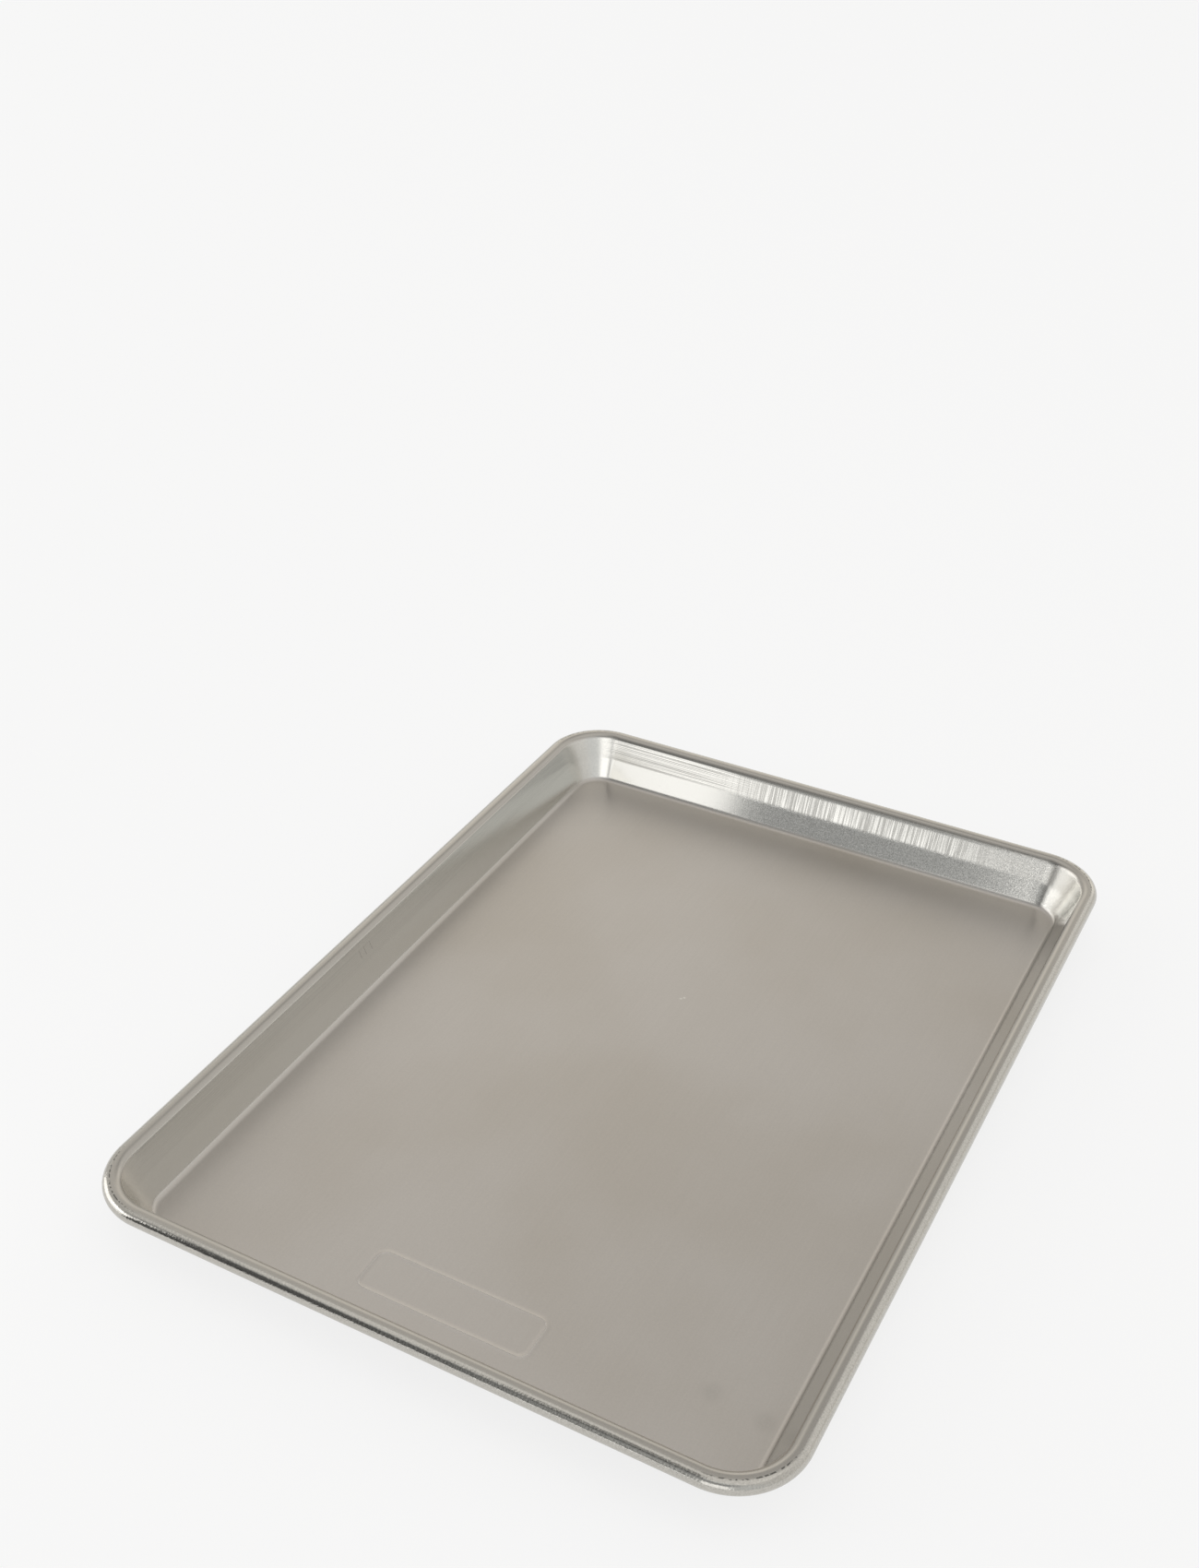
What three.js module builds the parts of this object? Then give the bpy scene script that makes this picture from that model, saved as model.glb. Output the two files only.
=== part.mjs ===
// Half sheet pan: one blank of aluminium sheet pressed into a shallow tray, with its edge curled
// round a steel wire. Millimetres, +Z up, long side along Y, origin in the middle of the underside.

import * as THREE from 'three';

// Driving dimensions, in millimetres and degrees.
const PAN_LENGTH = 454;        // over the rim, along Y
const PAN_WIDTH = 327;         // over the rim, along X
const INSIDE_DEPTH = 25.4;     // floor to top of the rim
const SHEET = 1.0;             // thickness of the aluminium
const FLOOR_CORNER = 12.8;     // corner radius of the flat floor, seen from above
const FLOOR_FILLET = 3.0;      // inside radius between floor and wall
const WALL_LEAN = 22;          // how far the walls lean out from upright
const SHOULDER_RADIUS = 3.8;   // upper face, where the wall turns out into the rim
const RIM_FLAT = 1.2;          // level strip between the shoulder and the bead
const BEAD_CURL = 240;         // how far the edge is curled round the wire
const WIRE_DIAMETER = 5.4;
const WIRE_CLEARANCE = 0.3;    // between the wire and the bead
const WIRE_BUTT_GAP = 0.5;     // between the two cut ends of the wire

// How finely the round stretches are divided.
const CORNER_STEPS = 10;
const FILLET_STEPS = 4;
const SHOULDER_STEPS = 5;
const CURL_STEPS = 16;
const WIRE_SIDES = 14;

// The section is drawn in a plane where x runs outwards, with 0 at the outside of the rim, and y is
// the height above the underside. Each bend has one centre, shared by both faces of the sheet.
const lean = THREE.MathUtils.degToRad(WALL_LEAN);
const rimTop = SHEET + INSIDE_DEPTH;
const wireRadius = WIRE_DIAMETER / 2;
const beadRadius = wireRadius + WIRE_CLEARANCE + SHEET;

const beadCentre = new THREE.Vector2(-beadRadius, rimTop - beadRadius);
const shoulderCentre = new THREE.Vector2(beadCentre.x - RIM_FLAT, rimTop - SHOULDER_RADIUS);
const filletCentre = new THREE.Vector2(0, SHEET + FLOOR_FILLET);

// The wall is straight and tangent to both bends, which sets how far in the fillet lies.
const acrossWall = new THREE.Vector2(Math.cos(lean), -Math.sin(lean));
const wallTop = shoulderCentre.clone().addScaledVector(acrossWall, -SHOULDER_RADIUS);
const wallFoot = filletCentre.clone().addScaledVector(acrossWall, FLOOR_FILLET);
filletCentre.x = wallTop.x - (wallTop.y - wallFoot.y) * Math.tan(lean) - wallFoot.x;

// Seen from above, every ring of the pan turns its corners about the same four centres.
const rimCorner = FLOOR_CORNER - filletCentre.x;
const cornerX = PAN_WIDTH / 2 - rimCorner;
const cornerY = PAN_LENGTH / 2 - rimCorner;

function arc(centre, radius, fromDegrees, toDegrees, steps) {
  const from = THREE.MathUtils.degToRad(fromDegrees);
  const to = THREE.MathUtils.degToRad(toDegrees);
  return new THREE.ArcCurve(centre.x, centre.y, radius, from, to, to < from).getPoints(steps);
}

// One face of the sheet, from the edge of the flat floor to the lip of the bead. The upper face has
// depth 0 and the underside has the depth of the sheet.
function sheetFace(depth) {
  return [
    ...arc(filletCentre, FLOOR_FILLET + depth, -90, -WALL_LEAN, FILLET_STEPS),
    ...arc(shoulderCentre, SHOULDER_RADIUS - depth, 180 - WALL_LEAN, 90, SHOULDER_STEPS),
    ...arc(beadCentre, beadRadius - depth, 90, 90 - BEAD_CURL, CURL_STEPS),
  ];
}

// A station is a place on the rim's path: a corner centre and the angle that the section faces.
function cornerStations(x, y, startDegrees) {
  return Array.from({ length: CORNER_STEPS + 1 }, (_, step) => ({
    x,
    y,
    angle: THREE.MathUtils.degToRad(startDegrees + (90 * step) / CORNER_STEPS),
  }));
}

// The four corners anticlockwise from the back left one, which faces 90 to 180 degrees.
const rimStations = [
  ...cornerStations(-cornerX, cornerY, 90),
  ...cornerStations(-cornerX, -cornerY, 180),
  ...cornerStations(cornerX, -cornerY, 270),
  ...cornerStations(cornerX, cornerY, 0),
];

function sweptVertices(section, stations) {
  return stations.flatMap(({ x, y, angle }) => section.flatMap((point) => {
    const reach = rimCorner + point.x;
    return [x + reach * Math.cos(angle), y + reach * Math.sin(angle), point.y];
  }));
}

// Two triangles for each patch between neighbouring stations and neighbouring section points.
function bandTriangles(sectionCount, stationCount, sectionCloses, pathCloses) {
  const triangles = [];
  const lastStation = pathCloses ? stationCount : stationCount - 1;
  const lastPoint = sectionCloses ? sectionCount : sectionCount - 1;
  for (let station = 0; station < lastStation; station += 1) {
    const here = station * sectionCount;
    const next = ((station + 1) % stationCount) * sectionCount;
    for (let point = 0; point < lastPoint; point += 1) {
      const onward = (point + 1) % sectionCount;
      triangles.push(here + point, here + onward, next + onward);
      triangles.push(here + point, next + onward, next + point);
    }
  }
  return triangles;
}

// A fan of triangles from a hub vertex to a closed ring of vertices.
function fanTriangles(hub, ring) {
  return ring.flatMap((vertex, place) => [hub, vertex, ring[(place + 1) % ring.length]]);
}

function solid(name, vertices, triangles, material) {
  const geometry = new THREE.BufferGeometry();
  geometry.setAttribute('position', new THREE.Float32BufferAttribute(vertices, 3));
  geometry.setIndex(triangles);
  geometry.computeVertexNormals();
  const mesh = new THREE.Mesh(geometry, material);
  mesh.name = name;
  return mesh;
}

// The tray: the sheet's section swept all the way round, closed by the flat floor inside it.
function makePanBody() {
  const section = [...sheetFace(0), ...sheetFace(SHEET).reverse()];
  const vertices = sweptVertices(section, rimStations);
  const ringAt = (point) => rimStations.map((_, station) => station * section.length + point);
  const floorHub = vertices.length / 3;
  const undersideHub = floorHub + 1;
  vertices.push(0, 0, SHEET, 0, 0, 0);
  const triangles = [
    ...bandTriangles(section.length, rimStations.length, false, true),
    ...fanTriangles(floorHub, ringAt(0)),
    ...fanTriangles(undersideHub, ringAt(section.length - 1).reverse()),
  ];
  const satinAluminium = new THREE.MeshStandardMaterial({ color: 0xaaa49d, roughness: 0.42, metalness: 0.9 });
  return solid('pan_body', vertices, triangles, satinAluminium);
}

// The wire inside the bead: one round bar that follows the rim and butts in the middle of the back.
function makeRimWire() {
  const section = arc(beadCentre, wireRadius, 90, -270, WIRE_SIDES).slice(0, -1);
  const backMiddle = THREE.MathUtils.degToRad(90);
  const stations = [
    { x: -WIRE_BUTT_GAP / 2, y: cornerY, angle: backMiddle },
    ...rimStations,
    { x: WIRE_BUTT_GAP / 2, y: cornerY, angle: backMiddle },
  ];
  const vertices = sweptVertices(section, stations);
  const endRing = (station) => section.map((_, point) => station * section.length + point);
  const backReach = cornerY + rimCorner + beadCentre.x;
  const firstHub = vertices.length / 3;
  const lastHub = firstHub + 1;
  vertices.push(stations[0].x, backReach, beadCentre.y);
  vertices.push(stations[stations.length - 1].x, backReach, beadCentre.y);
  const triangles = [
    ...bandTriangles(section.length, stations.length, true, false),
    ...fanTriangles(firstHub, endRing(0).reverse()),
    ...fanTriangles(lastHub, endRing(stations.length - 1)),
  ];
  const galvanisedSteel = new THREE.MeshStandardMaterial({ color: 0x8d9194, roughness: 0.5, metalness: 0.9 });
  return solid('rim_wire', vertices, triangles, galvanisedSteel);
}

const halfSheetPan = new THREE.Group();
halfSheetPan.name = 'half_sheet_pan';
halfSheetPan.add(makePanBody(), makeRimWire());

export default halfSheetPan;
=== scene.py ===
# %% [markdown]
# # A half sheet pan in bare aluminium
# The pan is one pressed sheet with its edge curled round a wire. The frame holds its construction, so
# this lesson only adds what the eye sees: a finer skin of the same section, the marks that pressing
# leaves in the metal, and a soft studio round it. Every number is in metres, in the frame's axes.

# %% Load the frame
import math
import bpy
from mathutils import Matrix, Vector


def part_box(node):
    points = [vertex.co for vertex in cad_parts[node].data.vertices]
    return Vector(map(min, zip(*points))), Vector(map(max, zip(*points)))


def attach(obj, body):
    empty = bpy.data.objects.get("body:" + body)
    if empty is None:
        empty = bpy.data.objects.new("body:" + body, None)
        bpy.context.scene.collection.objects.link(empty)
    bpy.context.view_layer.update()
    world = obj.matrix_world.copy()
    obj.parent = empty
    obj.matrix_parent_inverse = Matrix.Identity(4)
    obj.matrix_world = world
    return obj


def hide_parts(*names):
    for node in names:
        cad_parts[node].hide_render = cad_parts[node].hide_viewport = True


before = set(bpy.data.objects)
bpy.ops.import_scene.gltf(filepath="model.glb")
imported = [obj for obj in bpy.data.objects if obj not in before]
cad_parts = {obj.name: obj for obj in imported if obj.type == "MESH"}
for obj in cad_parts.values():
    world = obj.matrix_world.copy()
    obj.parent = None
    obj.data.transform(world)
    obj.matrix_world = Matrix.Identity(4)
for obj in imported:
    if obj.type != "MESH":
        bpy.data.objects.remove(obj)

from types import SimpleNamespace

import bmesh
import bpy
from mathutils import Matrix, Vector, noise

MM = 0.001
QUARTER_TURN = math.pi / 2
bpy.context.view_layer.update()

# %% [markdown]
# ## The camera
# The photograph was fitted with a plain pinhole camera: the pan's straight edges give two vanishing
# points, and the trade size of the pan gives the distance. The pan lies low in the frame, which is a
# camera shift and not a tilt. A shift keeps the perspective of the lens that took the picture.

# %% Camera from the fitted view
PHOTO_WIDTH, PHOTO_HEIGHT = 1300, 1700
LENS_IN_PIXELS = 1680.7
PRINCIPAL_POINT = (612.3, 1208.2)
VIEW_AZIMUTH, VIEW_ELEVATION, VIEW_ROLL = (math.radians(angle) for angle in (28.57, 43.71, 0.35))
CAMERA_PLACE = Vector((238.0, -523.5, 504.8)) * MM
SENSOR_WIDTH = 36.0
NEAREST_SEEN = 10 * MM


def make_camera():
    data = bpy.data.cameras.new("photo_camera")
    data.sensor_width = SENSOR_WIDTH
    data.lens = SENSOR_WIDTH * LENS_IN_PIXELS / PHOTO_HEIGHT
    data.shift_x = (PHOTO_WIDTH / 2 - PRINCIPAL_POINT[0]) / PHOTO_HEIGHT
    data.shift_y = (PRINCIPAL_POINT[1] - PHOTO_HEIGHT / 2) / PHOTO_HEIGHT
    data.clip_start = NEAREST_SEEN
    camera = bpy.data.objects.new("photo_camera", data)
    turn = Matrix.Rotation(VIEW_AZIMUTH, 4, "Z") @ Matrix.Rotation(QUARTER_TURN - VIEW_ELEVATION, 4, "X")
    camera.matrix_world = Matrix.Translation(CAMERA_PLACE) @ turn @ Matrix.Rotation(VIEW_ROLL, 4, "Z")
    bpy.context.scene.collection.objects.link(camera)
    bpy.context.scene.camera = camera
    return camera


camera = make_camera()
print(f"lens {camera.data.lens:.1f} mm, shift {camera.data.shift_x:.3f}, {camera.data.shift_y:.3f}")

# %% [markdown]
# ## The section of the sheet
# Cut through one wall and the whole pan is in that outline: the floor turns up in a small fillet, the
# wall leans out, a shoulder turns it level, and the edge curls round the wire. Both faces of the sheet
# share the same bend centres, so each face is the same list of arcs with another radius. The outline
# could be traced by eye with a curve, but arcs and tangents stay true when a size changes.

# %% Section sizes and bend centres
SHEET = 1.0 * MM
FLOOR_FILLET = 3.0 * MM
SHOULDER_RADIUS = 3.8 * MM
RIM_FLAT = 1.2 * MM
BEAD_RADIUS = 4.0 * MM
FLOOR_CORNER = 12.8 * MM
WALL_LEAN = math.radians(22)
BEAD_CURL = math.radians(240)

pan_low, pan_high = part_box("pan_body")
half_width = (pan_high.x - pan_low.x) / 2
half_length = (pan_high.y - pan_low.y) / 2
rim_top = pan_high.z
bead_centre = Vector((-BEAD_RADIUS, rim_top - BEAD_RADIUS))
shoulder_centre = Vector((bead_centre.x - RIM_FLAT, rim_top - SHOULDER_RADIUS))
across_wall = Vector((math.cos(WALL_LEAN), -math.sin(WALL_LEAN)))
wall_top = shoulder_centre - SHOULDER_RADIUS * across_wall
foot_height = SHEET + FLOOR_FILLET + FLOOR_FILLET * across_wall.y
wall_foot = Vector((wall_top.x - (wall_top.y - foot_height) * math.tan(WALL_LEAN), foot_height))
fillet_centre = wall_foot - FLOOR_FILLET * across_wall
rim_corner = FLOOR_CORNER - fillet_centre.x
print(f"wall foot {-wall_foot.x / MM:.1f} mm in from the rim, rim corner radius {rim_corner / MM:.1f} mm")


# %% Points along one face of the sheet
def arc(centre, radius, start, end, steps):
    angles = [start + (end - start) * step / steps for step in range(steps + 1)]
    return [centre + radius * Vector((math.cos(angle), math.sin(angle))) for angle in angles]


def wall_points(depth, steps):
    """The straight stretch, without its two ends."""
    foot = wall_foot + depth * across_wall
    top = wall_top + depth * across_wall
    return [foot.lerp(top, step / steps) for step in range(1, steps)]


def sheet_face(depth, fillet_steps, wall_steps, shoulder_steps, curl_steps):
    """One face from the edge of the flat floor to the lip: depth 0 is the upper face."""
    return (
        arc(fillet_centre, FLOOR_FILLET + depth, -QUARTER_TURN, -WALL_LEAN, fillet_steps)
        + wall_points(depth, wall_steps)
        + arc(shoulder_centre, SHOULDER_RADIUS - depth, math.pi - WALL_LEAN, QUARTER_TURN, shoulder_steps)
        + arc(bead_centre, BEAD_RADIUS - depth, QUARTER_TURN, QUARTER_TURN - BEAD_CURL, curl_steps)
    )


def running_length(points):
    """How far each point lies along the face, so that a finish can follow the sheet."""
    lengths = [0.0]
    for before, after in zip(points, points[1:]):
        lengths.append(lengths[-1] + (after - before).length)
    return lengths


upper_face = sheet_face(0.0, fillet_steps=8, wall_steps=20, shoulder_steps=12, curl_steps=32)
under_face = sheet_face(SHEET, fillet_steps=6, wall_steps=20, shoulder_steps=8, curl_steps=18)
upper_run = running_length(upper_face)
under_run = running_length(under_face)
print(f"{len(upper_face)} points on the upper face, {upper_run[-1] / MM:.1f} mm from floor to lip")

# %% [markdown]
# ## The path of the rim
# Seen from above, every ring of the pan turns its corners about the same four centres. A station on the
# path is a centre and a facing angle, and a section point sits at that centre plus its own reach. This
# is a sweep written by hand: a curve with a bevel object would twist or pinch in the tight corners, and
# would not say how far round the rim each vertex lies, which the drawing marks need.

# %% Stations round the rim
SIDE_STEP = 5.0 * MM
CORNER_STEPS = 28


def side_stations(start, end, angle):
    count = max(1, round((end - start).length / SIDE_STEP))
    return [(start.lerp(end, step / count), angle, 0.0) for step in range(1, count)]


def rim_path():
    """Stations anticlockwise from the right end of the front: centre, facing angle, share of the corner."""
    x, y = half_width - rim_corner, half_length - rim_corner
    centres = [Vector(place) for place in ((x, -y), (x, y), (-x, y), (-x, -y))]
    stations = []
    for number, centre in enumerate(centres):
        start = (number - 1) * QUARTER_TURN
        for step in range(CORNER_STEPS + 1):
            share = step / CORNER_STEPS
            stations.append((centre, start + share * QUARTER_TURN, share))
        following = centres[(number + 1) % len(centres)]
        stations += side_stations(centre, following, start + QUARTER_TURN)
    return stations


stations = rim_path()
print(f"{len(stations)} stations round the rim")

# %% [markdown]
# ## What pressing does to the shape
# The walls were drawn in two strokes, so a wall is not quite flat: it bends outwards at half height by
# a third of a millimetre, most on the short sides. Where the sheet is drawn into a corner it has too
# much metal, and it puckers into small upright wrinkles. The long walls and the curled bead are never
# quite straight. All of these are real shapes, so they move vertices: bump alone would vanish along an
# edge. Every move on the bead is inwards, so the pan never grows past its box.

# %% Where the stretches of the sheet begin
STROKE_BREAK = 0.49

wall_length = (wall_top - wall_foot).length
foot_run = FLOOR_FILLET * (QUARTER_TURN - WALL_LEAN)
break_run = foot_run + STROKE_BREAK * wall_length
shoulder_run = foot_run + wall_length
flat_run = shoulder_run + SHOULDER_RADIUS * (QUARTER_TURN - WALL_LEAN)
bead_run = flat_run + RIM_FLAT
stretches = (foot_run, break_run, shoulder_run, bead_run)
print("stretches begin at mm:", [round(run / MM, 1) for run in stretches])

# %% Strokes, wrinkles and waves
BREAK_OUTWARD = 0.36 * MM
LONG_SIDE_BREAK = 0.15
WRINKLE_DEPTH = 0.02 * MM
WRINKLES_PER_CORNER = 7
WRINKLES_PER_METRE = 9
WALL_WAVE = 0.05 * MM
WALL_WAVES_PER_METRE = 14
WALL_PATTERN = 3.7
BEAD_WAVE = 0.12 * MM
BEAD_WAVES_PER_METRE = 11
BEAD_PATTERN = 9.1
WALL_MARKS_GROW = (5 * MM, 20 * MM)
WALL_MARKS_FADE = (24 * MM, 29 * MM)
BEAD_MARKS_GROW = (31 * MM, 33 * MM)


def smooth_step(low, high, value):
    share = min(1.0, max(0.0, (value - low) / (high - low)))
    return share * share * (3 - 2 * share)


def stroke_bend(run, angle):
    """How far the wall bends outwards at its break line: a tent between its foot and its top."""
    share = min(1.0, max(0.0, (run - foot_run) / wall_length))
    tent = share / STROKE_BREAK if share < STROKE_BREAK else (1 - share) / (1 - STROKE_BREAK)
    on_short_side = math.sin(angle) ** 2
    return BREAK_OUTWARD * tent * (LONG_SIDE_BREAK + (1 - LONG_SIDE_BREAK) * on_short_side)


def wave_at(place, per_metre, pattern):
    """A slow wave over the ground plan, -1 to 1: each pattern number gives another wave."""
    return noise.noise(Vector((place.x * per_metre, place.y * per_metre, pattern)))


def press_marks(run, place, angle, share):
    """How far the sheet stands off its true shape, along its section normal."""
    up_wall = smooth_step(*WALL_MARKS_GROW, run) * (1 - smooth_step(*WALL_MARKS_FADE, run))
    in_corner = math.sin(math.pi * share)
    spread = place * WRINKLES_PER_METRE
    ripple = noise.noise(Vector((share * WRINKLES_PER_CORNER, spread.x, spread.y)))
    wave = wave_at(place, WALL_WAVES_PER_METRE, WALL_PATTERN)
    on_bead = smooth_step(*BEAD_MARKS_GROW, run)
    bead_dip = 0.5 + 0.5 * wave_at(place, BEAD_WAVES_PER_METRE, BEAD_PATTERN)
    on_wall = (WRINKLE_DEPTH * ripple * in_corner + WALL_WAVE * wave) * up_wall
    return on_wall - stroke_bend(run, angle) - BEAD_WAVE * bead_dip * on_bead


def face_normals(points):
    """Unit normals of a section polyline, on the side of the pan's inside and of the bead's outside."""
    normals = []
    for number in range(len(points)):
        before = points[max(0, number - 1)]
        after = points[min(len(points) - 1, number + 1)]
        along = (after - before).normalized()
        normals.append(Vector((-along.y, along.x)))
    return normals


# %% [markdown]
# ## The skin of the pan
# The upper face runs from the floor to the lip and the underside runs back, so one swept grid makes the
# whole sheet with its true thickness. Its UV map holds real distances: U is metres round the rim and V
# is metres up the sheet. The floor and the underside get a V below zero, so that a finish can tell them
# apart. The floor is closed with flat rings, and a flat ring next to each bend keeps the smooth shading
# of the bend from bleeding across the floor.

# %% Metres round the rim
def around_lengths():
    """Metres round the rim at each station, measured on the bead, and the whole way round."""
    bead_line = [centre + rim_corner * Vector((math.cos(a), math.sin(a))) for centre, a, _ in stations]
    lengths = running_length(bead_line + bead_line[:1])
    return lengths[:-1], lengths[-1]


around, whole_rim = around_lengths()
print(f"{whole_rim / MM:.0f} mm round the rim")

# %% Sweep both faces of the sheet
FLOOR_MARGIN = 2.0 * MM
UNDER_SIDE_RUN = -10 * MM


def place_section(bm, points, runs):
    """Rings of vertices, one ring per station, for one face of the sheet."""
    normals = face_normals(points)
    rings = []
    for centre, angle, share in stations:
        facing = Vector((math.cos(angle), math.sin(angle)))
        ring = []
        for point, normal, run in zip(points, normals, runs):
            ground = centre + facing * (rim_corner + point.x)
            moved = point + normal * press_marks(run, ground, angle, share)
            ground = centre + facing * (rim_corner + moved.x)
            ring.append(bm.verts.new((ground.x, ground.y, moved.y)))
        rings.append(ring)
    return rings


def join_rings(bm, run_layer, rings, runs, flip):
    """Quads between neighbouring rings, each corner marked with its place on the sheet."""
    count = len(rings)
    for number in range(count):
        following = (number + 1) % count
        here, there = around[number], around[following] or whole_rim
        for row in range(len(runs) - 1):
            corners = [
                (rings[number][row], here, runs[row]),
                (rings[number][row + 1], here, runs[row + 1]),
                (rings[following][row + 1], there, runs[row + 1]),
                (rings[following][row], there, runs[row]),
            ]
            if flip:
                corners.reverse()
            face = bm.faces.new([corner[0] for corner in corners])
            for loop, (_, u, v) in zip(face.loops, corners):
                loop[run_layer].uv = (u, v)


# %% Close the flat areas
def floor_ring(bm, inset, height):
    """A flat ring of new vertices, the floor's outline moved in by inset."""
    ring = []
    for centre, angle, _ in stations:
        facing = Vector((math.cos(angle), math.sin(angle)))
        ground = centre + facing * (FLOOR_CORNER - inset)
        ring.append(bm.verts.new((ground.x, ground.y, height)))
    return ring


def bridge(bm, run_layer, outer, inner, run):
    """Quads between two rings of the same count: they face up where the rings run anticlockwise."""
    count = len(outer)
    for number in range(count):
        following = (number + 1) % count
        face = bm.faces.new((outer[number], outer[following], inner[following], inner[number]))
        for loop in face.loops:
            loop[run_layer].uv = (0.0, run)


def fill_flat(bm, run_layer, loops, run, up):
    """Fills the flat area between closed loops of vertices with triangles that face up or down."""
    edges = []
    for loop in loops:
        for first, second in zip(loop, loop[1:] + loop[:1]):
            edges.append(bm.edges.get((first, second)) or bm.edges.new((first, second)))
    made = bmesh.ops.triangle_fill(bm, edges=edges, use_beauty=True, use_dissolve=False)["geom"]
    for face in made:
        if not isinstance(face, bmesh.types.BMFace):
            continue
        face.normal_update()
        if (face.normal.z > 0) != up:
            face.normal_flip()
        for loop in face.loops:
            loop[run_layer].uv = (0.0, run)


# %% [markdown]
# ## The coined panel
# Near the front edge of the floor a plain rounded rectangle is coined into the sheet: a hair ridge, a
# third of a millimetre wide, round a bare field. The ridge is real geometry, rings of a rounded
# rectangle, so that its slopes catch the light at the corners. A painted line would stay dull from
# every side.

# %% Rings of the panel
PANEL_CENTRE = Vector((-0.7, -183.2)) * MM
PANEL_SIZE = Vector((83.0, 22.3)) * MM
PANEL_CORNER = 5.0 * MM
PANEL_CORNER_STEPS = 12
RIDGE_WIDTH = 0.34 * MM
RIDGE_HEIGHT = 0.08 * MM
RIDGE_STEPS = 6
RIDGE_RUN = -6 * MM


def panel_ring(bm, inset, height):
    """A rounded rectangle of vertices, moved in by inset from the panel's outline."""
    radius = PANEL_CORNER - inset
    reach = PANEL_SIZE / 2 - Vector((PANEL_CORNER, PANEL_CORNER))
    ring = []
    for number, (side_x, side_y) in enumerate(((1, 1), (-1, 1), (-1, -1), (1, -1))):
        centre = PANEL_CENTRE + Vector((side_x * reach.x, side_y * reach.y))
        start = number * QUARTER_TURN
        for point in arc(centre, radius, start, start + QUARTER_TURN, PANEL_CORNER_STEPS):
            ring.append(bm.verts.new((point.x, point.y, height)))
    return ring


def panel_rings(bm, run_layer):
    """The ridge, bridged on both sides to a flat margin: returns its outermost and innermost rings."""
    outermost = panel_ring(bm, -FLOOR_MARGIN, SHEET)
    ridge = []
    for step in range(RIDGE_STEPS + 1):
        share = step / RIDGE_STEPS
        height = RIDGE_HEIGHT * math.sin(math.pi * share)
        ridge.append(panel_ring(bm, RIDGE_WIDTH * share, SHEET + height))
    innermost = panel_ring(bm, RIDGE_WIDTH + FLOOR_MARGIN, SHEET)
    bridge(bm, run_layer, outermost, ridge[0], -FLOOR_MARGIN)
    for outer, inner in zip(ridge, ridge[1:]):
        bridge(bm, run_layer, outer, inner, RIDGE_RUN)
    bridge(bm, run_layer, ridge[-1], innermost, -FLOOR_MARGIN)
    return outermost, innermost


print("panel in mm:", [round(side / MM, 1) for side in PANEL_SIZE])


# %% Build the pan skin
def make_pan_skin():
    bm = bmesh.new()
    run_layer = bm.loops.layers.uv.new("sheet_run")
    upper = place_section(bm, upper_face, upper_run)
    under = place_section(bm, under_face, under_run)
    join_rings(bm, run_layer, upper, upper_run, False)
    join_rings(bm, run_layer, under, [UNDER_SIDE_RUN - run for run in under_run], True)
    lip_run = [upper_run[-1], upper_run[-1] + SHEET]
    join_rings(bm, run_layer, [[up[-1], down[-1]] for up, down in zip(upper, under)], lip_run, False)

    floor_edge = [ring[0] for ring in upper]
    floor_flat = floor_ring(bm, FLOOR_MARGIN, SHEET)
    bridge(bm, run_layer, floor_edge, floor_flat, -FLOOR_MARGIN)
    panel_outside, panel_inside = panel_rings(bm, run_layer)
    fill_flat(bm, run_layer, [floor_flat, panel_outside], -FLOOR_MARGIN, True)
    fill_flat(bm, run_layer, [panel_inside], -FLOOR_MARGIN, True)

    under_edge = [ring[0] for ring in under]
    under_flat = floor_ring(bm, FLOOR_MARGIN, 0.0)
    bridge(bm, run_layer, list(reversed(under_edge)), list(reversed(under_flat)), UNDER_SIDE_RUN)
    fill_flat(bm, run_layer, [under_flat], UNDER_SIDE_RUN, False)

    mesh = bpy.data.meshes.new("pan_skin")
    bm.to_mesh(mesh)
    bm.free()
    mesh.polygons.foreach_set("use_smooth", [True] * len(mesh.polygons))
    skin = bpy.data.objects.new("pan_skin", mesh)
    bpy.context.scene.collection.objects.link(skin)
    return skin


pan_skin = make_pan_skin()
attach(pan_skin, "root")
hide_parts("pan_body")
print(f"pan skin: {len(pan_skin.data.polygons)} faces")

# %% [markdown]
# ## Writing finishes as sums
# A finish is a sum of masks: how far up the sheet, how streaky, how worn. Wiring each Math node by hand
# hides the sum, so one small class wraps a socket and lets Python's own operators add the nodes. Every
# other kind of node comes from one method, which takes its settings and what feeds its sockets.

# %% A socket that can be added and multiplied
class Signal:
    """The output of a node, usable in sums with numbers and with other outputs."""

    def __init__(self, finish, socket):
        self.finish = finish
        self.socket = socket

    def combine(self, operation, first, second):
        return self.finish.node("ShaderNodeMath", {"operation": operation}, {0: first, 1: second})

    def __add__(self, other):
        return self.combine("ADD", self, other)

    def __sub__(self, other):
        return self.combine("SUBTRACT", self, other)

    def __rsub__(self, other):
        return self.combine("SUBTRACT", other, self)

    def __mul__(self, other):
        return self.combine("MULTIPLY", self, other)

    def __abs__(self):
        return self.finish.node("ShaderNodeMath", {"operation": "ABSOLUTE"}, {0: self})

    __radd__ = __add__
    __rmul__ = __mul__


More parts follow.
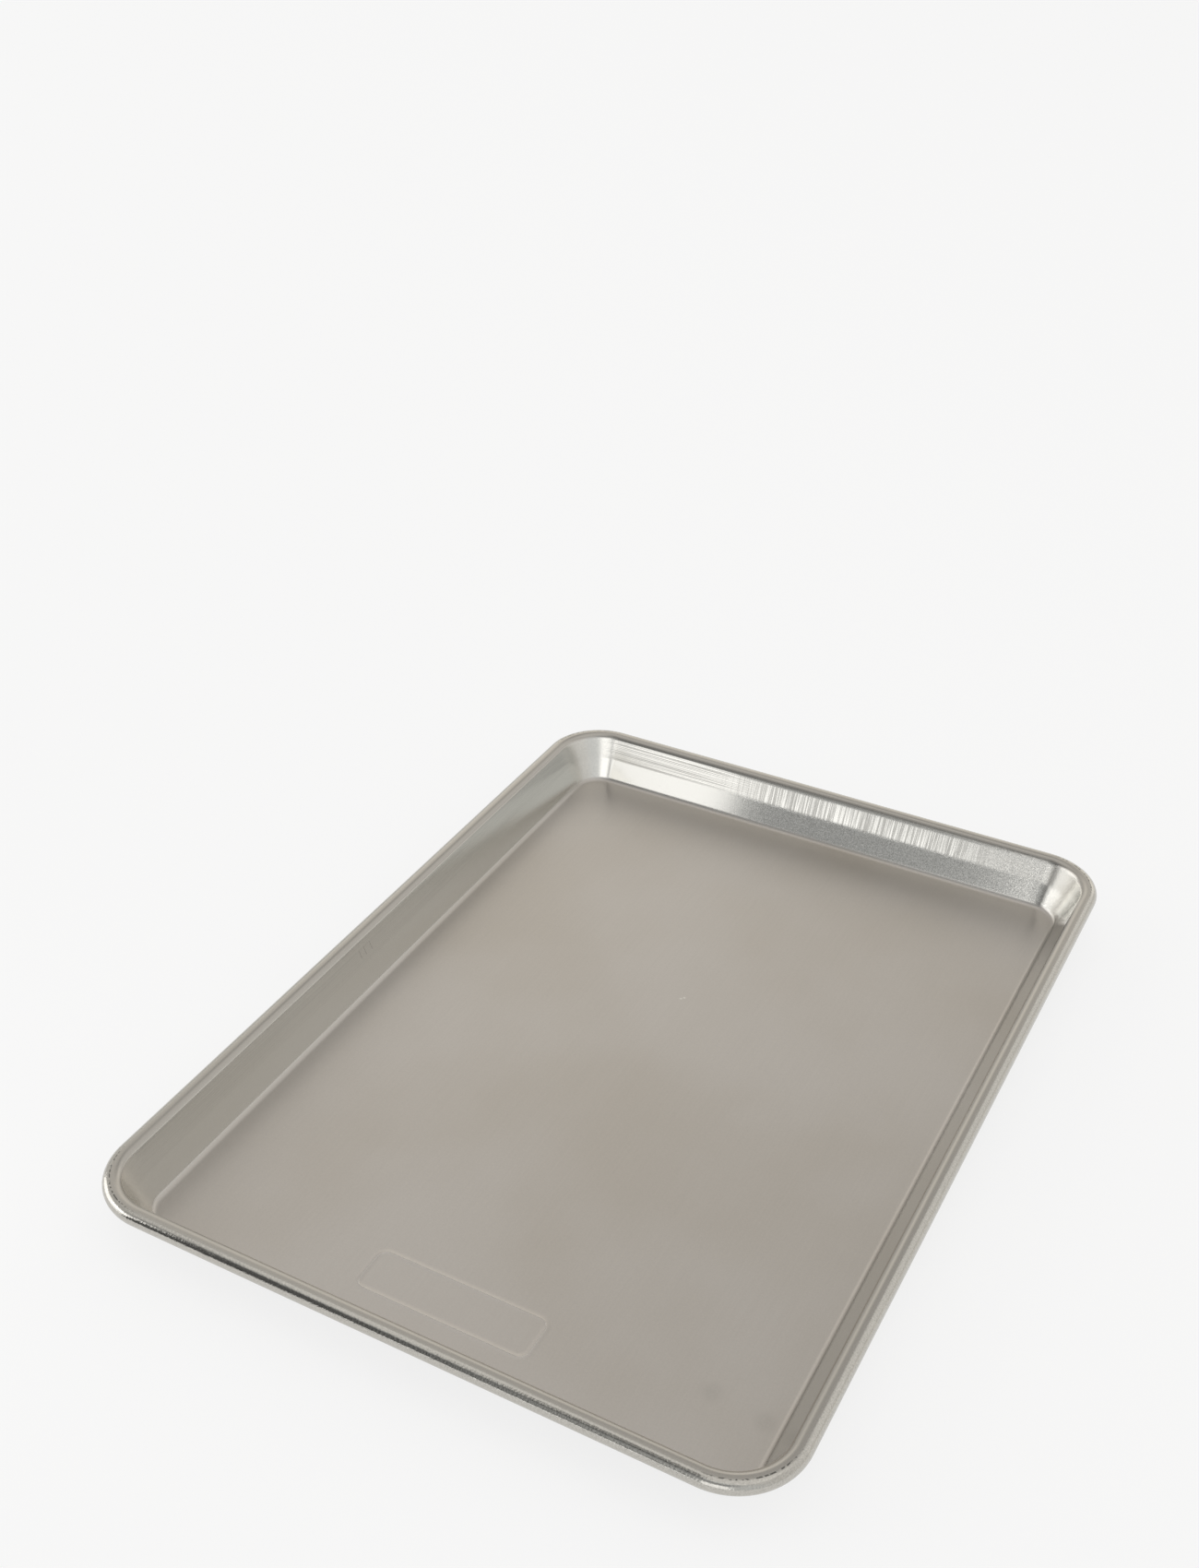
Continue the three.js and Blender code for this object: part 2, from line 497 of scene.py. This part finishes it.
# %% A node tree that is filled step by step
class Finish:
    """A node tree being filled, for a material or for the world."""

    def __init__(self, owner):
        owner.use_nodes = True
        self.tree = owner.node_tree
        self.tree.nodes.clear()

    def node(self, kind, settings=None, sockets=None, output=0):
        """One node: first its settings, then a value or a link for each named socket."""
        made = self.tree.nodes.new(kind)
        for name, value in (settings or {}).items():
            setattr(made, name, value)
        for name, value in (sockets or {}).items():
            if isinstance(value, Signal):
                self.tree.links.new(value.socket, made.inputs[name])
            else:
                made.inputs[name].default_value = value
        return Signal(self, made.outputs[output]) if made.outputs else made

    def axis(self, vector, name):
        return self.node("ShaderNodeSeparateXYZ", None, {0: vector}, name)

    def rise(self, value, low, high):
        """0 below low, 1 above high, smooth between."""
        settings = {"interpolation_type": "SMOOTHSTEP"}
        return self.node("ShaderNodeMapRange", settings, {"Value": value, "From Min": low, "From Max": high})

    def band(self, value, low, high, soft):
        """1 between low and high, with borders that are soft to both sides."""
        return self.rise(value, low - soft, low + soft) * (1 - self.rise(value, high - soft, high + soft))

    def grain(self, vector, scale, detail=2.0, roughness=0.5):
        sockets = {"Vector": vector, "Scale": scale, "Detail": detail, "Roughness": roughness}
        return self.node("ShaderNodeTexNoise", None, sockets)

    def drawn_grain(self, vector, per_metre, detail, roughness=0.5):
        """Grain with its own count per metre along each axis, so that it stretches into lines."""
        drawn = self.node("ShaderNodeVectorMath", {"operation": "MULTIPLY"}, {0: vector, 1: per_metre})
        return self.grain(drawn, 1.0, detail, roughness)

    def spots(self, vector, centres, reach):
        """1 out to a fifth of the reach round each centre, fading to 0 at the reach."""
        near = []
        for centre in centres:
            sockets = {0: vector, 1: centre}
            away = self.node("ShaderNodeVectorMath", {"operation": "DISTANCE"}, sockets, "Value")
            near.append(1 - self.rise(away, 0.2 * reach, reach))
        return sum(near)

    def blend(self, share, first, second, kind="MIX"):
        """A mix of two colours: on a Mix node, sockets 6 and 7 take colours and output 2 gives one."""
        settings = {"data_type": "RGBA", "blend_type": kind}
        return self.node("ShaderNodeMix", settings, {0: share, 6: first, 7: second}, 2)


def tone(red, green, blue):
    """A colour given as it looks on a screen, 0 to 255, in the linear numbers that shaders use."""
    levels = [channel / 255 for channel in (red, green, blue)]
    return tuple(v / 12.92 if v <= 0.04045 else ((v + 0.055) / 1.055) ** 2.4 for v in levels) + (1.0,)


# %% [markdown]
# ## The zones of the sheet
# A pressed pan does not look the same all over, because each stretch of the sheet went through another
# tool. The distance up the sheet tells floor, wall, rim and bead apart, and the place in the pan tells
# the short walls from the long ones, and both from the corners. Each zone is a soft mask. A material of
# its own for each zone would be plainer, but it would put a hard border where the metal has none.

# %% Zones of the sheet
SOFT_BORDER = 0.2 * MM
SHORT_WALLS = (195 * MM, 210 * MM)
CORNERS_ACROSS = (126 * MM, 142 * MM)
CORNERS_ALONG = (190 * MM, 206 * MM)
DRAWN_HARD_ACROSS = (-70 * MM, -20 * MM)
RIGHT_END_ACROSS = (80 * MM, 110 * MM)
DULLER_ACROSS = (20 * MM, 150 * MM)
DULLER_ON_LONG_WALLS = 0.25
scored_top = shoulder_run + 1.5 * MM


def sheet_zones(finish):
    """Masks that tell the stretches of the sheet apart, and the coordinates that they come from."""
    zone = SimpleNamespace()
    zone.place = finish.node("ShaderNodeTexCoord", None, None, "Object")
    zone.run = finish.node("ShaderNodeUVMap", {"uv_map": "sheet_run"})
    zone.across = finish.axis(zone.place, "X")
    zone.along = finish.axis(zone.place, "Y")
    zone.up = finish.axis(zone.run, "Y")

    zone.on_wall = finish.rise(zone.up, 0.5 * foot_run, 1.2 * foot_run)
    zone.on_rim = finish.rise(zone.up, shoulder_run - 0.5 * MM, shoulder_run + 2.0 * MM)
    zone.on_bead = finish.rise(zone.up, bead_run - 0.5 * MM, bead_run + 0.8 * MM)
    zone.on_ridge = finish.band(zone.up, RIDGE_RUN - 1 * MM, RIDGE_RUN + 1 * MM, 0.5 * MM)
    zone.inside = finish.rise(zone.up, UNDER_SIDE_RUN + 1 * MM, UNDER_SIDE_RUN + 3 * MM)
    zone.outside = 1 - finish.rise(zone.up, UNDER_SIDE_RUN - 3 * MM, UNDER_SIDE_RUN - 1 * MM)
    zone.rubbed = zone.on_wall - zone.on_rim
    zone.upper_wall = finish.band(zone.up, break_run, scored_top, SOFT_BORDER)
    lower_wall = finish.band(zone.up, foot_run, break_run, SOFT_BORDER)

    off_across, off_along = abs(zone.across), abs(zone.along)
    zone.short_wall = finish.rise(off_along, *SHORT_WALLS)
    zone.in_corner = finish.rise(off_across, *CORNERS_ACROSS) * finish.rise(off_along, *CORNERS_ALONG)
    zone.drawn_hard = zone.short_wall * (1 - zone.in_corner) * finish.rise(zone.across, *DRAWN_HARD_ACROSS)
    zone.right_end = zone.upper_wall * zone.drawn_hard * finish.rise(zone.across, *RIGHT_END_ACROSS)
    zone.coarse = lower_wall * zone.drawn_hard + zone.right_end
    # The long walls are blended towards a darker, duller tone: a quarter of the way all along, fully on the
    # right wall.
    worn_side = finish.rise(zone.across, *DULLER_ACROSS)
    zone.worn = (1 - zone.short_wall) * (DULLER_ON_LONG_WALLS + (1 - DULLER_ON_LONG_WALLS) * worn_side)
    return zone


# %% [markdown]
# ## The grain and the marks
# Rolled sheet has a fine grain along its length, with soft clouds where hands and heat have dulled it.
# Where the metal was bent or drawn hard it turns coarse, like orange peel. The upper stroke of the walls
# is scored: upright streaks where the short walls were drawn hardest, and long level lines elsewhere.
# Use adds two smudges and a nick in the floor, whose bright glint is painted as a lighter spot, and three
# ticks on the left wall, and the corners of the rim are crimped. Noise makes the grain, and each mark is a
# mask at its own place. A painted image would do it too, but noise stays sharp at any distance.

# %% Grain of the metal
def sheet_grain(finish, zone):
    """Noise of 0 to 1 at the sizes that the metal shows, counted per metre."""
    return SimpleNamespace(
        clouds=finish.grain(zone.place, 7.0, detail=3.0),
        speckle=finish.grain(zone.place, 1300.0, roughness=0.7),
        peel=finish.grain(zone.place, 1000.0, detail=1.0),
        pucker=finish.grain(zone.place, 600.0, detail=1.0),
        rolling=finish.drawn_grain(zone.place, (1100.0, 20.0, 1100.0), detail=2.0),
        streaks=finish.drawn_grain(zone.run, (1500.0, 28.0, 0.0), detail=3.0, roughness=0.6),
        clusters=finish.drawn_grain(zone.run, (150.0, 0.0, 0.0), detail=1.0),
        level_lines=finish.drawn_grain(zone.run, (6.0, 2200.0, 0.0), detail=2.0, roughness=0.6),
    )


# %% Scores, ticks, smudges and crimps
RAGGED_EDGE = 4 * MM
RAGGED_BORDER = 0.4 * MM
LEVEL_LINES_ACROSS = (-80 * MM, -20 * MM)
TICKS_ALONG = [-15.0 * MM, -20.2 * MM, -24.3 * MM]
TICK_HALF_WIDTH = 0.2 * MM
TICK_ENDS = (18.2 * MM, 22.8 * MM)
LEFT_WALL_ACROSS = (-150 * MM, -140 * MM)
SMUDGES = [Vector((113.8, -171.8, 1.0)) * MM, Vector((138.0, -174.8, 1.0)) * MM]
SMUDGE_REACH = 7.0 * MM
# Where the nick and its painted glint sit.
NICK_AND_GLINT = [Vector((-3.4, 43.1, 1.0)) * MM, Vector((-2.2, 44.5, 1.0)) * MM]
NICK_AND_GLINT_REACH = 1.0 * MM


def wall_ticks(finish, zone):
    """Three short upright scratches on the left wall."""
    low, high = -TICK_HALF_WIDTH, TICK_HALF_WIDTH
    rows = sum(finish.band(zone.along, here + low, here + high, SOFT_BORDER) for here in TICKS_ALONG)
    on_left_wall = 1 - finish.rise(zone.across, *LEFT_WALL_ACROSS)
    return rows * finish.band(zone.up, *TICK_ENDS, 0.6 * MM) * on_left_wall


def sheet_marks(finish, zone, grain):
    """Masks of the marks that tools and use have left in the sheet."""
    mark = SimpleNamespace()
    ragged = zone.up + RAGGED_EDGE * (grain.streaks - 0.5)
    streaked = finish.band(ragged, break_run, scored_top, RAGGED_BORDER)
    mark.upright = zone.drawn_hard * (1 - finish.rise(zone.across, *RIGHT_END_ACROSS)) * streaked
    mark.level = zone.upper_wall * (1 - zone.in_corner) * (0.2 + 0.8 * zone.short_wall)
    mark.level = mark.level * (1 - finish.rise(zone.across, *LEVEL_LINES_ACROSS))
    upright_score = mark.upright * finish.rise(grain.streaks + 0.15 * grain.clusters, 0.48, 0.68)
    level_score = mark.level * finish.rise(grain.level_lines, 0.4, 0.65)
    ticks = wall_ticks(finish, zone)
    mark.score = 0.5 * ticks + 0.5 * upright_score + 0.7 * level_score + 0.18 * zone.right_end

    mark.smudged = zone.inside * finish.spots(zone.place, SMUDGES, SMUDGE_REACH)
    mark.nicked = zone.inside * finish.spots(zone.place, NICK_AND_GLINT, NICK_AND_GLINT_REACH)
    crimp_line = finish.band(zone.up, bead_run - 0.1 * MM, bead_run + 0.5 * MM, 0.25 * MM)
    mark.crimps = zone.in_corner * crimp_line * finish.rise(grain.pucker, 0.46, 0.56)
    return mark


# %% [markdown]
# ## The aluminium
# Zones, grain and marks now add up to one metal. The floor is satin, and the die rubbed the walls
# smoother and lighter. The level rim lies between the two, the bead is nearly as smooth as the walls,
# and the outside of the sheet is a little smoother than the floor. Tint, roughness and bump are three
# sums over the same masks, so that a score is at once darker and rougher, and stands in relief.

# %% Tint of the sheet
SATIN = tone(193, 188, 182)
SATIN_DULL = tone(187, 181, 173)
RIM_TONE = tone(178, 174, 167)
BEAD_TONE = tone(193, 190, 183)
WALL_TONE = tone(228, 226, 220)
WALL_DULL = tone(185, 186, 184)
SCORE_TONE = tone(150, 148, 143)
PIT_TONE = tone(70, 70, 68)


def pan_tint(finish, zone, grain, mark):
    satin = finish.blend(finish.rise(grain.clouds, 0.35, 0.7), SATIN, SATIN_DULL)
    # Long walls darker towards the right: blended from WALL_TONE to WALL_DULL by that mask.
    wall_metal = finish.blend(zone.worn, WALL_TONE, WALL_DULL)
    metal = finish.blend(zone.rubbed + 0.05 * zone.on_ridge, satin, wall_metal)
    metal = finish.blend(zone.on_rim, metal, finish.blend(zone.on_bead, RIM_TONE, BEAD_TONE))
    metal = finish.blend(mark.score, metal, SCORE_TONE)
    metal = finish.blend(0.10 * mark.smudged * finish.rise(grain.speckle, 0.3, 0.6), metal, PIT_TONE)
    # Painted highlight: the nick is lightened towards the wall tone to stand for its bright glint.
    metal = finish.blend(0.6 * mark.nicked, metal, WALL_TONE)
    metal = finish.blend(0.8 * mark.crimps, metal, PIT_TONE)
    grainy = 0.06 + 0.62 * zone.coarse + 0.25 * zone.on_bead + 0.12 * zone.rubbed * zone.in_corner
    shade = 0.98 + grainy * (grain.speckle - 0.5) * 2 + (1 - zone.on_wall) * 0.05 * (grain.rolling - 0.5)
    grey = finish.node("ShaderNodeCombineColor", None, {0: shade, 1: shade, 2: shade})
    return finish.blend(1.0, metal, grey, "MULTIPLY")


# %% Roughness and height of the sheet
SATIN_ROUGHNESS = 0.42


def pan_roughness(zone, grain, mark):
    polish = SATIN_ROUGHNESS - 0.29 * zone.rubbed - 0.16 * zone.on_ridge - 0.12 * zone.on_rim
    rough = polish - 0.14 * zone.on_bead + 0.18 * mark.score + 0.14 * zone.rubbed * zone.in_corner
    return rough - zone.outside * (0.06 + 0.10 * grain.level_lines)


def pan_height(zone, grain, mark):
    return (
        grain.speckle * (0.10 + 0.40 * zone.coarse)
        + 1.8 * grain.peel * zone.on_bead
        + 0.4 * grain.streaks * mark.upright
        + 0.3 * grain.level_lines * mark.level
        - mark.crimps
    )


# %% Pan aluminium
BUMP_STRENGTH = 0.5
BUMP_DEPTH = 0.06 * MM


def metal_shader(finish, tint, roughness, bumps):
    """A bare metal on the surface of a material."""
    sockets = {"Base Color": tint, "Metallic": 1.0, "Roughness": roughness, "Normal": bumps}
    shader = finish.node("ShaderNodeBsdfPrincipled", None, sockets)
    finish.node("ShaderNodeOutputMaterial", None, {"Surface": shader})


def make_pan_finish():
    material = bpy.data.materials.new("pan_aluminium")
    finish = Finish(material)
    zone = sheet_zones(finish)
    grain = sheet_grain(finish, zone)
    mark = sheet_marks(finish, zone, grain)
    relief = {"Height": pan_height(zone, grain, mark), "Strength": BUMP_STRENGTH, "Distance": BUMP_DEPTH}
    bumps = finish.node("ShaderNodeBump", None, relief)
    metal_shader(finish, pan_tint(finish, zone, grain, mark), pan_roughness(zone, grain, mark), bumps)
    return material


pan_skin.data.materials.append(make_pan_finish())
print("finish on the pan:", pan_skin.data.materials[0].name)

# %% [markdown]
# ## The wire
# The wire only shows through the slot under the curl. It is drawn steel with a thin dull zinc coat, so
# it gets a darker grey with cool crystal patches. The frame's own piece has the right shape and stays.

# %% Wire steel
ZINC_LIGHT = tone(150, 154, 156)
ZINC_DARK = tone(108, 112, 115)
ZINC_RELIEF = 0.2
ZINC_DEPTH = 0.1 * MM


def make_wire_finish():
    material = bpy.data.materials.new("wire_steel")
    finish = Finish(material)
    place = finish.node("ShaderNodeTexCoord", None, None, "Object")
    crystals = finish.node("ShaderNodeTexVoronoi", None, {"Vector": place, "Scale": 420.0}, "Distance")
    drawn = finish.grain(place, 600.0)
    tint = finish.blend(finish.rise(crystals + 0.3 * drawn, 0.2, 0.9), ZINC_LIGHT, ZINC_DARK)
    relief = {"Height": drawn, "Strength": ZINC_RELIEF, "Distance": ZINC_DEPTH}
    metal_shader(finish, tint, 0.45 + 0.15 * drawn, finish.node("ShaderNodeBump", None, relief))
    return material


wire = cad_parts["rim_wire"]
wire.data.materials.clear()
wire.data.materials.append(make_wire_finish())
print("finish on the wire:", wire.data.materials[0].name)

# %% [markdown]
# ## The table
# The pan stands on a wide pale table. Seen directly, or mirrored in the metal, most of its tone is a
# steady pale grey, and the rest is lit like any surface, so the soft shadow under the pan stays. From
# below the table is clear, so that the underside of the pan can be looked at too.

# %% Table
TABLE_HALF = 6.0
TABLE_DROP = 0.2 * MM
TABLE_TONE = tone(246, 246, 246)
STEADY_TONE = tone(252, 252, 252)
STEADY_SHARE = 0.8


def make_table_finish():
    material = bpy.data.materials.new("pale_table")
    finish = Finish(material)
    rays = ("Is Camera Ray", "Is Glossy Ray", "Is Transmission Ray")
    seen = sum(finish.node("ShaderNodeLightPath", None, None, ray) for ray in rays)
    lit = finish.node("ShaderNodeBsdfDiffuse", None, {"Color": TABLE_TONE})
    even = finish.node("ShaderNodeEmission", None, {"Color": STEADY_TONE})
    top = finish.node("ShaderNodeMixShader", None, {0: seen * STEADY_SHARE, 1: lit, 2: even})
    from_below = finish.node("ShaderNodeNewGeometry", None, None, "Backfacing")
    clear = finish.node("ShaderNodeBsdfTransparent")
    surface = finish.node("ShaderNodeMixShader", None, {0: from_below, 1: top, 2: clear})
    finish.node("ShaderNodeOutputMaterial", None, {"Surface": surface})
    return material


def make_table():
    mesh = bpy.data.meshes.new("table")
    corners = ((-1, -1), (1, -1), (1, 1), (-1, 1))
    mesh.from_pydata([(x * TABLE_HALF, y * TABLE_HALF, -TABLE_DROP) for x, y in corners], [], [(0, 1, 2, 3)])
    mesh.materials.append(make_table_finish())
    table = bpy.data.objects.new("table", mesh)
    bpy.context.scene.collection.objects.link(table)
    return table


table = make_table()
print("table", table.dimensions.x, "m wide")

# %% [markdown]
# ## The studio
# Metal shows the room more than itself, so the room is built from what each part of the pan mirrors. It
# is a soft dome: light and warm low at the back, where the floor of the pan looks, with a lighter patch
# at the back right, and dark along the front, where nothing is lit, with a darker bar above. A picture
# of a studio would do as well, but masks of the direction can be read and changed.

# %% Dome
DOME_LEVEL = 0.635
DOME_WARM = (1.0, 0.968, 0.905, 1.0)
DOME_COOL = (1.0, 0.988, 0.968, 1.0)
DOME_FRONT = (0.97, 0.99, 1.0, 1.0)


def make_dome():
    """Side, depth and height are -1 to 1: from left to right, from front to back and up to overhead."""
    world = bpy.data.worlds.new("studio_dome")
    bpy.context.scene.world = world
    finish = Finish(world)
    ray = finish.node("ShaderNodeTexCoord", None, None, "Generated")
    side, depth, height = (finish.axis(ray, name) for name in "XYZ")
    left = 1 - finish.rise(side, -0.45, -0.25)
    right = finish.rise(side, 0.25, 0.55)
    back = finish.rise(depth, 0.05, 0.5)
    front = 1 - finish.rise(depth, -0.6, -0.2)
    overhead = finish.rise(height, 0.80, 0.88) * (1 - finish.rise(depth, 0.3, 0.5))
    horizon = (1 - finish.rise(height, 0.1, 0.5)) * (1 - 0.6 * finish.rise(side, 0.0, 0.4))

    opening = finish.rise(side, -0.31, -0.25) * finish.band(height, 0.40, 0.68, 0.06)
    gap = front * (1 - finish.rise(height, 0.72, 0.88)) * (1 - right) * (0.29 + 0.26 * left)
    gap = gap * (1 - 0.6 * opening)
    bar = finish.band(side, -0.30, -0.14, 0.05) * (1 - finish.rise(depth, -0.15, 0.0))
    bar = bar * finish.rise(height, 0.74, 0.84)

    glow = back * (1 - finish.rise(height + 0.3 * side, 0.40, 0.66)) * (1 - 0.5 * horizon)
    glow = glow * (0.3 + 0.7 * finish.rise(side, -0.75, -0.45))
    glow = glow * (1 - finish.rise(side, 0.1, 0.45) * (0.4 + 0.6 * finish.rise(height, 0.12, 0.28)))
    patch = back * finish.rise(side, -0.05, 0.25) * finish.band(height, 0.28, 0.83, 0.08)
    dip = back * finish.band(side, -0.22, -0.02, 0.08) * finish.rise(height, 0.3, 0.5)

    lights = 0.60 * glow + 0.28 * patch + 0.30 * overhead + 0.14 * right * (1 - back)
    level = DOME_LEVEL + lights - 0.16 * dip - gap - 0.7 * bar
    colour = finish.blend(front, finish.blend(glow, DOME_COOL, DOME_WARM), DOME_FRONT)
    background = finish.node("ShaderNodeBackground", None, {"Color": colour, "Strength": level})
    finish.node("ShaderNodeOutputWorld", None, {"Surface": background})
    return world


print("world:", make_dome().name)

# %% [markdown]
# ## The lamps
# A broad soft box on the left makes the corners shine. Two cards in front are what the back wall
# mirrors: a near one in its lower stroke at the left, and a far one, low over the table, in its upper
# stroke. A screen in front, right of the middle, lights the far left corner. Each lamp is given as the
# window of the room that it fills, because that is what a mirror shows of it.

# %% Lamps
FAR = 6.0
NEAR = 0.62


def soft_box(name, aim, distance, azimuths, elevations, radiance):
    """A rectangular lamp that fills a window of the room as seen from aim, with its edges in degrees:
    azimuths to the left of the front, elevations up from the table."""
    turn, lift = (math.radians(sum(edges) / 2) for edges in (azimuths, elevations))
    width, height = (distance * math.radians(edges[1] - edges[0]) for edges in (azimuths, elevations))
    away = Vector((-math.sin(turn) * math.cos(lift), -math.cos(turn) * math.cos(lift), math.sin(lift)))
    data = bpy.data.lights.new(name, "AREA")
    data.shape = "RECTANGLE"
    data.size = width
    data.size_y = height
    data.energy = radiance * math.pi * width * height
    lamp = bpy.data.objects.new(name, data)
    lamp.location = aim + away * distance
    lamp.rotation_euler = away.to_track_quat("Z", "Y").to_euler()
    lamp.visible_camera = False
    bpy.context.scene.collection.objects.link(lamp)
    return lamp


pan_middle = Vector((0, 0, 0))
back_wall_left = Vector((-80, 212, 8)) * MM
lamps = [
    soft_box("left_soft_box", pan_middle, FAR, azimuths=(42, 98), elevations=(1, 34), radiance=1.4),
    soft_box("near_card", back_wall_left, NEAR, azimuths=(16.2, 31.5), elevations=(9, 18), radiance=1.08),
    soft_box("far_card", pan_middle, FAR, azimuths=(8, 26.5), elevations=(2.5, 8.5), radiance=1.3),
    soft_box("corner_screen", pan_middle, FAR, azimuths=(-26, 5.6), elevations=(2, 31), radiance=1.15),
]
print("lamps:", [lamp.name for lamp in lamps])

# %% [markdown]
# ## The view transform
# The view transform is Standard, so a tone on the table is the tone in the picture.

# %% View transform
bpy.context.scene.view_settings.view_transform = "Standard"
